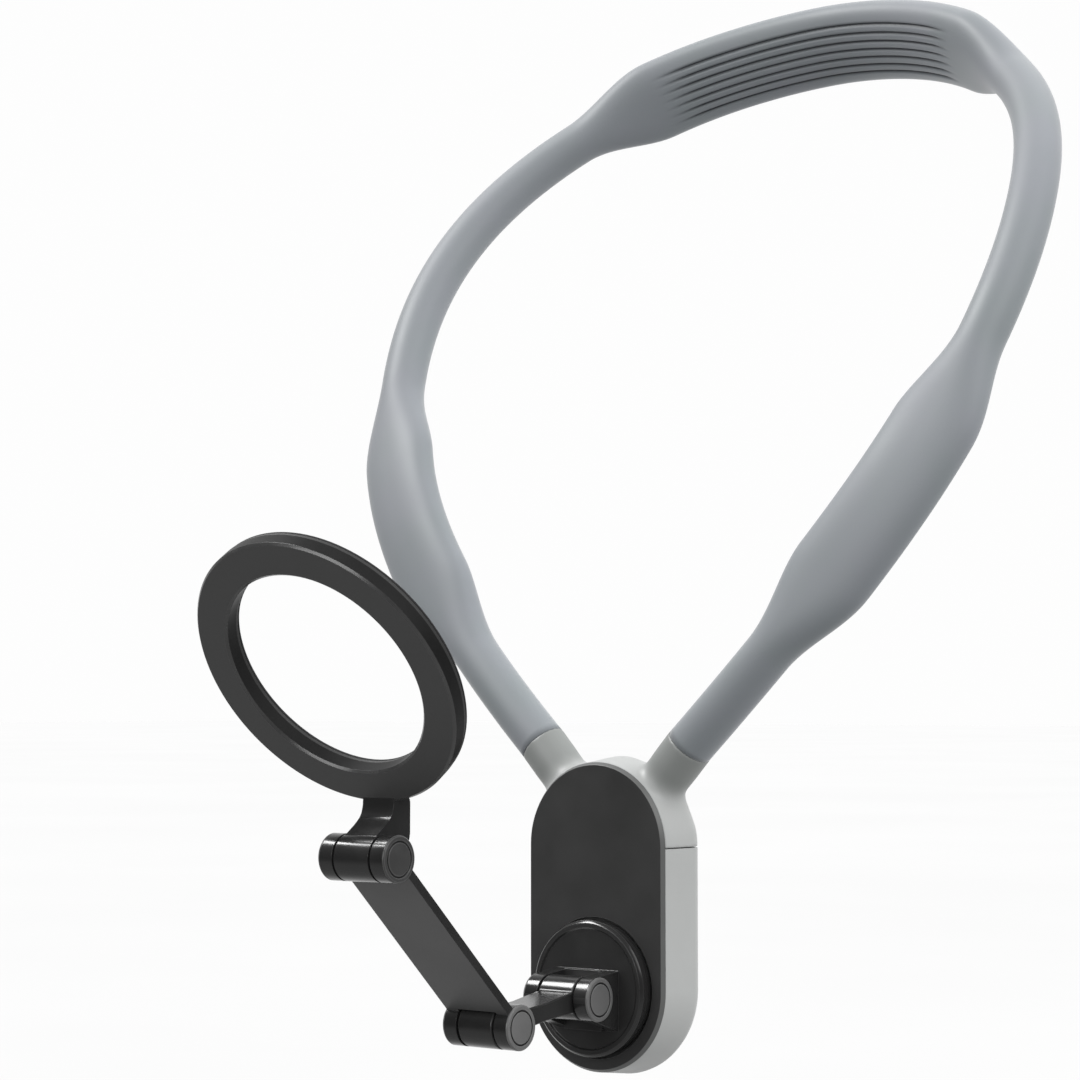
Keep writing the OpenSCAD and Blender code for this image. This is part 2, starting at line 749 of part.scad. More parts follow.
module disc_screw() {
    color("gainsboro") on_chest() translate([0, 0, hub_end - retainer_t]) union() {
        translate([0, 0, -disc_head_t]) cylinder(r = disc_head_r, h = disc_head_t);
        translate([0, 0, -fit_clear]) cylinder(r = disc_screw_r, h = disc_screw_bite);
    }
}

module base_hinge_screw() { color("gainsboro") at_base() hinge_screw(); }
module base_hinge_nut() { color("gainsboro") at_base() hinge_nut(); }
module base_hinge_caps() { color("#5a5a5a") at_base() hinge_caps(); }
module base_hinge_washers() { color("ivory") at_base() hinge_washers(); }
module elbow_screw() { color("gainsboro") at_elbow() hinge_screw(); }
module elbow_nut() { color("gainsboro") at_elbow() rotate([-long_tilt, 0, 0]) hinge_nut(); }
module elbow_caps() { color("#5a5a5a") at_elbow() hinge_caps(); }
module elbow_washers() { color("ivory") at_elbow() hinge_washers(); }
module ring_hinge_screw() { color("gainsboro") at_ring() hinge_screw(); }
module ring_hinge_nut() { color("gainsboro") at_ring() rotate([-long_tilt, 0, 0]) hinge_nut(); }
module ring_hinge_caps() { color("#5a5a5a") at_ring() hinge_caps(); }
module ring_hinge_washers() { color("ivory") at_ring() hinge_washers(); }

// Short link: two middle barrels on a waisted web
waist_share = 0.8;
module short_link() {
    color("#333333") at_base() rotate([short_tilt, 0, 0]) difference() {
        union() {
            barrel(barrel_r, barrel_w);
            translate([0, 0, short_len]) barrel(barrel_r, barrel_w);
            across(barrel_w) polygon([
                [-web_t / 2, 0], [-web_t / 2 * waist_share, short_len / 2], [-web_t / 2, short_len],
                [web_t / 2, short_len], [web_t / 2 * waist_share, short_len / 2], [web_t / 2, 0]
            ]);
        }
        barrel(pin_r + run_clear, barrel_w + 2 * overrun);
        translate([0, 0, short_len]) barrel(pin_r + run_clear, barrel_w + 2 * overrun);
    }
}

// Long link: a flat plate with a pair of ears at each end
link_set = 0.5;
swing_clear = 0.5;
module long_link() {
    color("#3a3a3a") at_elbow() rotate([-long_tilt, 0, 0]) difference() {
        union() {
            translate([-link_w / 2, link_set - link_t / 2, 0]) cube([link_w, link_t, long_len]);
            for (end = [0, long_len])
                translate([0, 0, end]) both_sides(gap_out, ear_out) circle(r = barrel_r);
        }
        for (end = [0, long_len]) translate([0, 0, end]) {
            barrel(barrel_r + swing_clear, 2 * gap_out);
            ear_bores();
        }
        translate([-gap_out, -barrel_r, -barrel_r]) cube([2 * gap_out, barrel_d, barrel_r]);
        translate([-gap_out, -barrel_r, long_len]) cube([2 * gap_out, barrel_d, barrel_r]);
    }
}

// Ring, seen from its hinge: Y up along the ring, Z out of its front face
module in_ring() {
    at_ring() rotate([ring_tilt, 0, 0]) children();
}
ring_r = ring_d / 2;
hole_r = ring_hole_d / 2;
ring_front_t = 1;
body_t = ring_front_t + yoke_t + magnet_t;
cover_t = ring_t - body_t - pad_t;
channel_wall = 1.3;
ring_chamfer = 0.45;
neck_w = 7.7;
module about_ring() {
    in_ring() translate([0, ring_reach, -ring_setback]) rotate_extrude() children();
}
ring_foot = ring_reach - ring_r;
// Side view of the neck: up in shares of ring_foot, barrel_r, channel_wall; back in ring_setback, ring_t
neck_side_shares = [
    [1, 0, 0.94, 1.01, 0], [1, 0, 0.52, 0.965, 0], [1, 0, 0, 0.905, 0], [0.91, 0, 0, 0.84, 0],
    [0.5, 0.455, 0, 0.772, 0], [0.2, 0.785, 0, 0.678, 0], [0, 1.02, 0, 0.567, 0], [0, 1, 0, 0.444, 0],
    [0, 0.985, 0, 0.13, 0], [0, 0.9, 0, 0, 0], [0, -0.465, 0, 0.36, 0], [0, -0.495, 0, 0.56, 0],
    [0, -0.49, 0, 0.8, 0], [0, -0.38, 0, 0.92, 0], [0, -0.2, 0, 1.01, 0], [0.64, 0, 0, 0.878, 1],
    [0.74, 0, 0, 0.9, 1], [0.84, 0, 0, 0.878, 1], [0.93, 0, 0, 1, 0.66], [1, 0, 0.9, 1, 0.66]
];
module neck_side() {
    polygon([
        for (q = neck_side_shares)
            [q[0] * ring_foot + q[1] * barrel_r + q[2] * channel_wall, -q[3] * ring_setback - q[4] * ring_t]
    ]);
}
module ring_body() {
    color("#303030") difference() {
        union() {
            about_ring() polygon([
                [hole_r, -body_t], [hole_r, -ring_chamfer], [hole_r + ring_chamfer, 0],
                [ring_r - ring_chamfer, 0], [ring_r, -ring_chamfer], [ring_r, -body_t],
                [ring_r - channel_wall, -body_t], [ring_r - channel_wall, -ring_front_t],
                [hole_r + channel_wall, -ring_front_t], [hole_r + channel_wall, -body_t]
            ]);
            in_ring() across(neck_w) neck_side();
            in_ring() barrel(barrel_r, barrel_w);
        }
        in_ring() barrel(pin_r + run_clear, barrel_w + 2 * overrun);
    }
}
module ring_yoke() {
    color("silver") about_ring() translate([hole_r + channel_wall + head_clear, -ring_front_t - yoke_t])
        square([ring_r - hole_r - 2 * channel_wall - 2 * head_clear, yoke_t]);
}
magnet_gap_angle = 1.6;
module ring_magnets() {
    step = 360 / magnet_count;
    color("lightgray") in_ring() translate([0, ring_reach, -ring_setback])
        for (i = [0 : magnet_count - 1])
            rotate([0, 0, i * step])
                rotate_extrude(angle = step - magnet_gap_angle)
                    translate([hole_r + channel_wall + head_clear, -body_t])
                        square([ring_r - hole_r - 2 * channel_wall - 2 * head_clear, magnet_t]);
}
module ring_cover() {
    color("#3a3a3a") about_ring() translate([hole_r + head_clear, -body_t - cover_t])
        square([ring_r - hole_r - 2 * head_clear, cover_t]);
}
module ring_pad() {
    color("#2a2a2a") about_ring() polygon([
        [hole_r + head_clear, -body_t - cover_t], [hole_r + head_clear, pad_t / 2 - ring_t],
        [hole_r + pad_t / 2, -ring_t], [ring_r - pad_t / 2, -ring_t],
        [ring_r - head_clear, pad_t / 2 - ring_t], [ring_r - head_clear, -body_t - cover_t]
    ]);
}

lower_housing();
shoulder_housing();
front_plate();
plate_tape();
inner_frame();
housing_screws();
core_clamp();
clamp_screws();
strap_core();
strap_sleeve();
turning_disc();
disc_washer();
disc_spring();
disc_retainer();
disc_screw();
base_hinge_screw();
base_hinge_nut();
base_hinge_caps();
base_hinge_washers();
short_link();
elbow_screw();
elbow_nut();
elbow_caps();
elbow_washers();
long_link();
ring_hinge_screw();
ring_hinge_nut();
ring_hinge_caps();
ring_hinge_washers();
ring_body();
ring_yoke();
ring_magnets();
ring_cover();
ring_pad();
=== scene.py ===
"""Neck-worn magnetic holder: the looks around the fixed construction frame.

Lengths are in metres, except for the sizes that follow the finishes, which are in millimetres.
"""
import json
import math

import bmesh
import bpy
import numpy as np
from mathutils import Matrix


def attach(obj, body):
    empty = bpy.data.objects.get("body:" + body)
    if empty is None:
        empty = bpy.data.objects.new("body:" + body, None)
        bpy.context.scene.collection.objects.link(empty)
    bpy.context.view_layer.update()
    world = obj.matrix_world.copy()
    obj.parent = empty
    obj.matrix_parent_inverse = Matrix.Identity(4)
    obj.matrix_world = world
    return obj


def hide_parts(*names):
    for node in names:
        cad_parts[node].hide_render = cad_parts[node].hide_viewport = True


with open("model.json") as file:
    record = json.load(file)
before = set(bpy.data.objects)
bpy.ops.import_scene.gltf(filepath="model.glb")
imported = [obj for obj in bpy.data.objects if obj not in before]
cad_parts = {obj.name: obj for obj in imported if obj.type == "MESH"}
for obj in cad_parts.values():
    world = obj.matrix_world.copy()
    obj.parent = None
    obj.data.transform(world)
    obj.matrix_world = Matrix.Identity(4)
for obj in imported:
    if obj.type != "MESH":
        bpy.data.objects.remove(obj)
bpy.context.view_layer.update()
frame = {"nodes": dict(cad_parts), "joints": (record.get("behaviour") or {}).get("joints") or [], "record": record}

MM = 0.001
TINY = 1e-6

# The photograph's frame and the camera found for it
PHOTO_PX = 1080
FOCAL_PX = 2848.5
SENSOR_MM = 36.0
CAMERA_SEES = (0.01, 100.0)
CAMERA_AT = (0.3525, -0.5599, -0.1499)
CAMERA_TURN_DEG = (93.15, 0.03, 38.05)

# Brightness of the white studio as the camera sees it
STUDIO_SEEN = 0.985
# Soft fill from all round: its mean level, and how it grows along X, Y and Z. Most is from above and behind
STUDIO_FILL = 1.17
STUDIO_SLOPE = (-0.05, 0.58, 0.95)
# Brightness of the studio in reflections, from straight below to straight above, dark at the horizon
STUDIO_MIRRORED = [(0.0, 0.5), (0.3, 0.4), (0.45, 0.06), (0.6, 0.06), (0.8, 0.2), (1.0, 0.3)]
# Brightness of the panel behind the object in reflections, the way to it, and the cosines where it fades in
PANEL_MIRRORED = 1.0
PANEL_WAY = (-0.67, 0.74, 0.0)
PANEL_FADES = (0.4, 0.95)

# Lamps: place, size, watts, and whether they light matt surfaces or show in reflections alone
LAMPS = {
    "top_softbox": ((-0.1, 0.5, 0.95), (0.9, 0.6), 1.5, True),
    "right_streak": ((0.97, -0.33, 0.55), (0.8, 0.8), 5.0, False),
    "left_streak": ((-0.62, -0.55, 0.78), (0.8, 0.34), 18.0, False),
    "front_streak": ((-0.06, -1.25, 0.12), (0.85, 0.35), 5.0, False),
}
LAMPS_AIM_AT = (0.0, -0.09, -0.12)

# The floor lies far below the hanging object. Its emission brings its matt tone up to the studio's. A level
# floor gathers the fill by the cosine from its normal, and so two thirds of the slope along Z
FLOOR_HALF = 40.0
FLOOR_LEVEL = -0.62
FLOOR_TONE = 0.3
FLOOR_TONE_B = 0.29
FLOOR_GATHERS = 2 / 3
WHITE = (1.0, 1.0, 1.0, 1.0)

# The construction's pieces, joints, finishes and bodies, by name
scene = bpy.context.scene
nodes = frame["nodes"]
joint_at = {j["name"]: np.array(j["pos_m"]) for j in frame["joints"]}
slot_of = {s["node"]: s["material_slot"] for s in frame["record"]["subparts"]}
body_of = {n: body for body, members in frame["record"]["behaviour"]["bodies"].items() for n in members}


def link(obj):
    """Puts a new object into the scene."""
    scene.collection.objects.link(obj)
    return obj


def grey(level):
    """A neutral tone."""
    return (level, level, level)


def put(node, values):
    """Sets constants on a shader node's sockets."""
    for name, value in values.items():
        node.inputs[name].default_value = value


def new_node(tree, kind, values=None, **settings):
    """A shader node with its settings, and with constants on its sockets."""
    made = tree.nodes.new("ShaderNode" + kind)
    for name, value in settings.items():
        setattr(made, name, value)
    put(made, values or {})
    return made


def wire(tree, *links):
    """Links sockets, each given as node, output, node, input."""
    for source, output, target, socket in links:
        tree.links.new(source.outputs[output], target.inputs[socket])


def new_group(name, inputs, outputs):
    """A shader node group with named sockets, and the nodes at its start and end."""
    group = bpy.data.node_groups.new(name, "ShaderNodeTree")
    for label, kind, default in inputs:
        made = group.interface.new_socket(name=label, in_out="INPUT", socket_type=kind)
        if default is not None:
            made.default_value = default
    for label, kind in outputs:
        group.interface.new_socket(name=label, in_out="OUTPUT", socket_type=kind)
    return group, group.nodes.new("NodeGroupInput"), group.nodes.new("NodeGroupOutput")


def make_moulded_grain():
    """Fine spark-eroded texture of a moulding: octaves of noise, as a height from 0 to 1."""
    group, start, end = new_group(
        "moulded_grain",
        [("Vector", "NodeSocketVector", None), ("Scale", "NodeSocketFloat", 4000.0)],
        [("Height", "NodeSocketFloat")],
    )
    noise = new_node(group, "TexNoise", {"Detail": 3.0, "Roughness": 0.6})
    wire(group,
         (start, "Vector", noise, "Vector"), (start, "Scale", noise, "Scale"),
         (noise, "Fac", end, "Height"))
    return group


def make_tone_drift():
    """Slow change of a colour over a surface, between two given colours, with a mask of where it is."""
    group, start, end = new_group(
        "tone_drift",
        [("Vector", "NodeSocketVector", None), ("Scale", "NodeSocketFloat", 60.0),
         ("Colour A", "NodeSocketColor", None), ("Colour B", "NodeSocketColor", None)],
        [("Colour", "NodeSocketColor"), ("Mask", "NodeSocketFloat")],
    )
    noise = new_node(group, "TexNoise", {"Detail": 4.0, "Roughness": 0.55})
    spread = new_node(group, "MapRange", {"From Min": 0.35, "From Max": 0.65})
    mix = new_node(group, "Mix", data_type="RGBA")
    wire(group,
         (start, "Vector", noise, "Vector"), (start, "Scale", noise, "Scale"),
         (noise, "Fac", spread, "Value"), (spread, "Result", mix, "Factor"),
         (start, "Colour A", mix, "A"), (start, "Colour B", mix, "B"),
         (mix, "Result", end, "Colour"), (spread, "Result", end, "Mask"))
    return group


GRAIN = make_moulded_grain()
DRIFT = make_tone_drift()
GRAIN_HEIGHT = 0.1 * MM


def surface(name, tone, tone_b, roughness, grain, drift=60.0, metallic=0.0, specular=0.5, sheen=None):
    """A finish: a colour that drifts between two tones, a roughness range, and a fine grain in the bump.

    The tones are linear colours, roughness is its lowest and highest value, grain is (scale, strength), drift
    is the scale of the change, and sheen is (weight, roughness).
    """
    material = bpy.data.materials.new(name)
    material.use_nodes = True
    tree = material.node_tree
    shader = tree.nodes["Principled BSDF"]
    place = new_node(tree, "TexCoord")
    tones = {"Scale": drift, "Colour A": (*tone, 1.0), "Colour B": (*tone_b, 1.0)}
    colour = new_node(tree, "Group", tones, node_tree=DRIFT)
    gloss = new_node(tree, "MapRange", {"To Min": roughness[0], "To Max": roughness[1]})
    texture = new_node(tree, "Group", {"Scale": grain[0]}, node_tree=GRAIN)
    bump = new_node(tree, "Bump", {"Strength": grain[1], "Distance": GRAIN_HEIGHT})
    wire(tree,
         (place, "Object", colour, "Vector"), (colour, "Colour", shader, "Base Color"),
         (colour, "Mask", gloss, "Value"), (gloss, "Result", shader, "Roughness"),
         (place, "Object", texture, "Vector"), (texture, "Height", bump, "Height"),
         (bump, "Normal", shader, "Normal"))
    put(shader, {"Metallic": metallic, "Specular IOR Level": specular})
    if sheen:
        put(shader, {"Sheen Weight": sheen[0], "Sheen Roughness": sheen[1]})
    return material


def paint_shade_by(material, attribute, tone):
    """Mixes a painted shade in, by a share that the mesh carries as an attribute."""
    tree = material.node_tree
    shader = tree.nodes["Principled BSDF"]
    base = shader.inputs["Base Color"].links[0].from_socket
    share = new_node(tree, "Attribute", attribute_name=attribute)
    mix = new_node(tree, "Mix", {"B": (*tone, 1.0)}, data_type="RGBA")
    tree.links.new(base, mix.inputs["A"])
    wire(tree, (share, "Fac", mix, "Factor"), (mix, "Result", shader, "Base Color"))


def make_camera():
    """The camera stands where the photograph was taken from."""
    data = bpy.data.cameras.new("photo_camera")
    data.sensor_width = SENSOR_MM
    data.lens = SENSOR_MM * FOCAL_PX / PHOTO_PX
    data.clip_start, data.clip_end = CAMERA_SEES
    camera = link(bpy.data.objects.new("photo_camera", data))
    camera.location = CAMERA_AT
    camera.rotation_euler = [math.radians(a) for a in CAMERA_TURN_DEG]
    scene.camera = camera


def make_studio_light():
    """A white studio: a bright panel behind the object, soft fill, and a dark horizon in reflections."""
    world = bpy.data.worlds.new("white_studio")
    world.use_nodes = True
    tree = world.node_tree
    back = tree.nodes["Background"]
    put(back, {"Color": WHITE})
    path = new_node(tree, "LightPath")
    where = new_node(tree, "TexCoord")
    apart = new_node(tree, "SeparateXYZ")
    height = new_node(tree, "MapRange", {"From Min": -1.0})
    mirrored = new_node(tree, "ValToRGB")
    ramp = mirrored.color_ramp
    while len(ramp.elements) < len(STUDIO_MIRRORED):
        ramp.elements.new(0.5)
    for element, (place, brightness) in zip(ramp.elements, STUDIO_MIRRORED):
        element.position = place
        element.color = (*grey(brightness), 1.0)
    towards = new_node(tree, "VectorMath", {1: PANEL_WAY}, operation="DOT_PRODUCT")
    fades = {"From Min": PANEL_FADES[0], "From Max": PANEL_FADES[1]}
    behind = new_node(tree, "MapRange", fades, interpolation_type="SMOOTHSTEP")
    panel = new_node(tree, "Mix", {"B": PANEL_MIRRORED})
    slope = new_node(tree, "VectorMath", {1: STUDIO_SLOPE}, operation="DOT_PRODUCT")
    level = new_node(tree, "Math", {1: STUDIO_FILL})
    fill = new_node(tree, "Mix")
    shown = new_node(tree, "Mix", {"B": STUDIO_SEEN})
    wire(tree,
         (where, "Generated", apart, "Vector"), (apart, "Z", height, "Value"),
         (height, "Result", mirrored, "Fac"), (mirrored, "Color", panel, "A"),
         (where, "Generated", towards, 0), (towards, "Value", behind, "Value"),
         (behind, "Result", panel, "Factor"),
         (where, "Generated", slope, 0), (slope, "Value", level, 0),
         (path, "Is Glossy Ray", fill, "Factor"), (level, "Value", fill, "A"), (panel, "Result", fill, "B"),
         (path, "Is Camera Ray", shown, "Factor"), (fill, "Result", shown, "A"),
         (shown, "Result", back, "Strength"))
    scene.world = world


def make_lamp(name, at, size, power, lights_matt):
    """A rectangular studio lamp, turned to shine at the object."""
    data = bpy.data.lights.new(name, "AREA")
    data.shape = "RECTANGLE"
    data.size, data.size_y = size
    data.energy = power
    lamp = link(bpy.data.objects.new(name, data))
    lamp.location = at
    lamp.visible_diffuse = lights_matt
    away = np.array(lamp.location) - np.array(LAMPS_AIM_AT)
    tip = math.atan2(math.hypot(away[0], away[1]), away[2])
    lamp.rotation_euler = (tip, 0.0, math.atan2(away[0], -away[1]))


def make_floor():
    """A pale matt floor, as wide as the eye can see."""
    tone, tone_b = grey(FLOOR_TONE), grey(FLOOR_TONE_B)
    paint = surface("floor_paint", tone, tone_b, (0.8, 0.9), (200.0, 0.02), 0.6, specular=0.0)
    lit = FLOOR_TONE * (STUDIO_FILL + FLOOR_GATHERS * STUDIO_SLOPE[2])
    put(paint.node_tree.nodes["Principled BSDF"],
        {"Emission Color": WHITE, "Emission Strength": STUDIO_SEEN - lit})
    mesh = bpy.data.meshes.new("studio_floor")
    corners = [(x * FLOOR_HALF, y * FLOOR_HALF, FLOOR_LEVEL) for x, y in ((-1, -1), (1, -1), (1, 1), (-1, 1))]
    mesh.from_pydata(corners, [], [(0, 1, 2, 3)])
    mesh.materials.append(paint)
    floor = link(bpy.data.objects.new("studio_floor", mesh))
    floor.visible_glossy = False
    floor.visible_diffuse = False


make_camera()
make_studio_light()
scene.view_settings.view_transform = "Standard"
make_floor()
for lamp_name, lamp_setting in LAMPS.items():
    make_lamp(lamp_name, *lamp_setting)

# Attributes that carry how deep a point lies in a nape groove, and how far out on a collar. Each sets how much
# painted shade is mixed into the finish there
GROOVE_DEPTH = "groove_depth"
COLLAR_SHADE_SHARE = "collar_share"
GROOVE_PAINTED_SHADE = (0.03, 0.034, 0.04)
COLLAR_PAINTED_SHADE = (0.27, 0.283, 0.275)

# Each finish: its two tones, roughness, grain and drift
MATT_FINISHES = {
    "housing_grey": ((0.435, 0.445, 0.44), (0.42, 0.43, 0.425), (0.42, 0.5), (5000.0, 0.12), 90.0),
    "plate_black": (grey(0.03), grey(0.034), (0.36, 0.44), (6000.0, 0.08), 70.0),
    "plate_rim": ((0.12, 0.123, 0.121), (0.13, 0.133, 0.131), (0.36, 0.42), (6000.0, 0.04), 80.0),
    "arm_black": (grey(0.021), grey(0.026), (0.13, 0.21), (7000.0, 0.04), 110.0),
    "disc_face": (grey(0.024), grey(0.028), (0.3, 0.38), (7000.0, 0.06), 110.0),
    "arm_satin": (grey(0.078), grey(0.088), (0.42, 0.5), (7000.0, 0.06), 110.0),
    "ring_black": (grey(0.046), grey(0.052), (0.42, 0.5), (6000.0, 0.1), 80.0),
    "ring_chamfer": (grey(0.05), grey(0.06), (0.2, 0.28), (6000.0, 0.04), 200.0),
    "cap_black": (grey(0.045), grey(0.055), (0.3, 0.4), (6000.0, 0.08), 160.0),
    "cap_grey": (grey(0.115), grey(0.13), (0.36, 0.46), (6000.0, 0.12), 160.0),
    # Nearly black: painted shade for the caps' turned grooves
    "cap_groove": (grey(0.006), grey(0.009), (0.5, 0.6), (6000.0, 0.05), 160.0),
    "cover_black": (grey(0.03), grey(0.034), (0.45, 0.55), (5000.0, 0.1)),
    "washer_white": ((0.74, 0.73, 0.68), (0.78, 0.77, 0.72), (0.4, 0.5), (4000.0, 0.05)),
    "film_pale": ((0.66, 0.64, 0.56), (0.7, 0.68, 0.6), (0.3, 0.4), (3000.0, 0.05)),
}
METAL_FINISHES = {
    "screw_steel": (grey(0.52), (0.58, 0.58, 0.57), (0.25, 0.35), (5000.0, 0.05)),
    "magnet_nickel": ((0.62, 0.6, 0.56), (0.66, 0.64, 0.6), (0.12, 0.2), (4000.0, 0.02)),
    "frame_alloy": ((0.56, 0.57, 0.58), (0.6, 0.61, 0.62), (0.35, 0.45), (3000.0, 0.1)),
    "core_alloy": ((0.58, 0.58, 0.59), (0.62, 0.62, 0.63), (0.3, 0.4), (3000.0, 0.05)),
}
FINISHES = {name: surface(name, *row) for name, row in MATT_FINISHES.items()}
FINISHES.update({name: surface(name, *row, metallic=1.0) for name, row in METAL_FINISHES.items()})
FINISHES["strap_silicone"] = surface(
    "strap_silicone", (0.258, 0.285, 0.3), (0.272, 0.288, 0.315), (0.5, 0.58), (2500.0, 0.1), 45.0,
    specular=0.4, sheen=(0.4, 0.35))
FINISHES["pad_rubber"] = surface(
    "pad_rubber", (0.022, 0.022, 0.023), (0.027, 0.027, 0.028), (0.65, 0.8), (3000.0, 0.3), specular=0.2)
# The ring's walls: its own plastic darkened as painted shade, with weak reflections
FINISHES["ring_wall"] = surface(
    "ring_wall", grey(0.012), grey(0.016), (0.42, 0.5), (6000.0, 0.06), 80.0, specular=0.12)
# Painted shade: the silicone darkens with the depth of the nape grooves
paint_shade_by(FINISHES["strap_silicone"], GROOVE_DEPTH, GROOVE_PAINTED_SHADE)
# Painted shade: the housing grey darkens out along the collars
paint_shade_by(FINISHES["housing_grey"], COLLAR_SHADE_SHARE, COLLAR_PAINTED_SHADE)

# Rounded edges are a little smoother than the faces, and paler: the paler tone is a painted highlight along them
EDGE = "_edge"
EDGE_HIGHLIGHT_TONES = {
    "housing_grey": (0.45, 0.46, 0.455), "plate_black": grey(0.05), "arm_black": grey(0.03),
    "ring_black": grey(0.07), "cap_black": grey(0.09), "cap_grey": grey(0.16), "cover_black": grey(0.04),
}
EDGE_FADE = 0.8
EDGE_ROUGHNESS = (0.25, 0.38)
EDGE_GRAIN = (6000.0, 0.03)
EDGE_DRIFT = 400.0
# Each edge finish: a paler copy of its base tone, a painted highlight along the rounds
for base, highlight_tone in EDGE_HIGHLIGHT_TONES.items():
    faded = tuple(EDGE_FADE * c for c in highlight_tone)
    FINISHES[base + EDGE] = surface(base + EDGE, highlight_tone, faded, EDGE_ROUGHNESS, EDGE_GRAIN, EDGE_DRIFT)


def dress(obj, *finishes):
    """Gives an object its finishes, replacing what it had."""
    obj.data.materials.clear()
    for finish in finishes:
        obj.data.materials.append(FINISHES[finish])


for name, node in nodes.items():
    dress(node, slot_of[name])

# From here to the end, sizes are in millimetres

# Rounding of edges: how near points are merged, how flat faces are joined, and which edges are rounded
MERGE = 0.0005
COPLANAR_DEG = 0.05
SHARP_DEG = 28.0
ROUND_STEPS = 2
# Width of the rounding on each piece's edges
ROUNDING = {
    "front_plate": 0.08, "lower_housing": 0.35, "turning_disc": 0.18, "short_link": 0.3, "long_link": 0.15,
    "ring_body": 0.15, "ring_cover": 0.1, "ring_pad": 0.15,
    "base_hinge_caps": 0.1, "elbow_caps": 0.1, "ring_hinge_caps": 0.1,
}

# The loop's own sizes, as the construction has them
PLATE_SPAN = 28.8
COLLAR_ANGLE_DEG = 47.5
COLLAR_REACH = 28.0
COLLAR_DEPTH = 7.2
STRAP_D = 10.0
LOOP_W = 156.6
LOOP_RISE = 162.7
LOOP_DEPTH = 88.1
CHEST_PAD = {"width": 18.8, "thick": 9.0, "start": 26.0, "length": 78.0}
NAPE_PAD = {"width": 19.4, "thick": 9.6, "half": 68.0}
SWELL = 22.0
GROOVES = {"count": 7, "pitch": 2.0, "depth": 0.7, "half_width": 0.5}
NAPE_SLOPE_DEG = 36.7
PAD_POWER = 0.35
# The lengths over which the inner side turns from the chest to the neck's side, and on to the nape
TURN = 40.0
NAPE_TURN = TURN + SWELL / 4
# The bore for the core, and the plug at each end that sits in a collar
BORE_D = 4.9
SPIGOT_D = 7.0
SPIGOT_LEN = 6.0
# The middle line's guide points from the seam, in shares of half the width, the depth and the rise
GUIDE_SHARES = [
    (0.735, 0.006, 0.228), (0.980, 0.179, 0.456), (1.028, 0.413, 0.686), (0.856, 0.700, 0.859),
    (0.438, 0.926, 0.978), (0.107, 1.000, 1.000), (0.000, 1.000, 1.000),
]
# The middle line's spline: its degree, the end of its parameter, and the points of its arc length table
DEGREE = 3
LAST_T = 1.0 - 1e-9
TABLE_POINTS = 2001
# The smooth skin lies this far inside the construction's round, so that it stays within its facets
SKIN_INSET = 0.06
# Half of the chord that gives the loop's heading, and the step from its seam back into the collar
PROBE = 0.6
SEAM_STEP = 0.001
# Points of the sleeve: across its grooved side, around the rest, and along half of its skin and its bore
NOTCH_COLUMNS = 60
PLAIN_COLUMNS = 86
SKIN_ROWS = 200
BORE_ROWS = 60
# Clear width beside the outer grooves, in pitches
GROOVE_MARGIN = 0.6

# The collar's soft root. A pair gives where a weight starts to change, and over what length
VOXEL = 0.3
COLLAR_ROOT = 17.0
FILLET_REACH = 6.5
COLLAR_BORE = (4.2, 0.8)
COLLAR_FAR = (12.0, 3.0)
PLATE_SEAT = (1.4, 1.5)
ROOT_PULL, ROOT_ROUNDS = 0.5, 110
SKIN_PULL, SKIN_ROUNDS = 0.4, 3
# Painted shade on the collars: where it starts along a collar and over what length, and how far from the axis it
# fades
COLLAR_SHADE_START = (1.0, 6.0)
COLLAR_SHADE_FAR = (10.0, 3.0)

# The arm and the ring
BARREL_R = 4.45
RING_TILT_DEG = 34.3
RING_FOOT = 6.0
NECK_TOP = 7.4
NECK_W = 7.7
NECK_SLACK = 0.02
CAP_GROOVE_R = 3.3
CAP_GROOVE_HALF = 0.2
# The caps of each hinge; the lower two pairs are paler
HINGE_CAPS = [
    ("base_hinge", "base_hinge_caps", "cap_grey"), ("elbow_hinge", "elbow_caps", "cap_grey"),
    ("ring_hinge", "ring_hinge_caps", "cap_black"),
]
# Cosines that tell faces apart: one that faces a way, the disc's flat face, the plate's side, the ring's wall
FLAT = 0.95
DISC_FLAT = 0.99
PLATE_SIDE = 0.2
RING_WALL = 0.3


def settle(piece):
    """Turns a piece's modifiers into its mesh."""
    bpy.context.view_layer.update()
    done = bpy.data.meshes.new_from_object(piece.evaluated_get(bpy.context.evaluated_depsgraph_get()))
    piece.modifiers.clear()
    piece.data = done


def copy_of(node):
    """A copy of a construction piece, to be finished in its place."""
    return link(bpy.data.objects.new(node + "_finished", nodes[node].data.copy()))


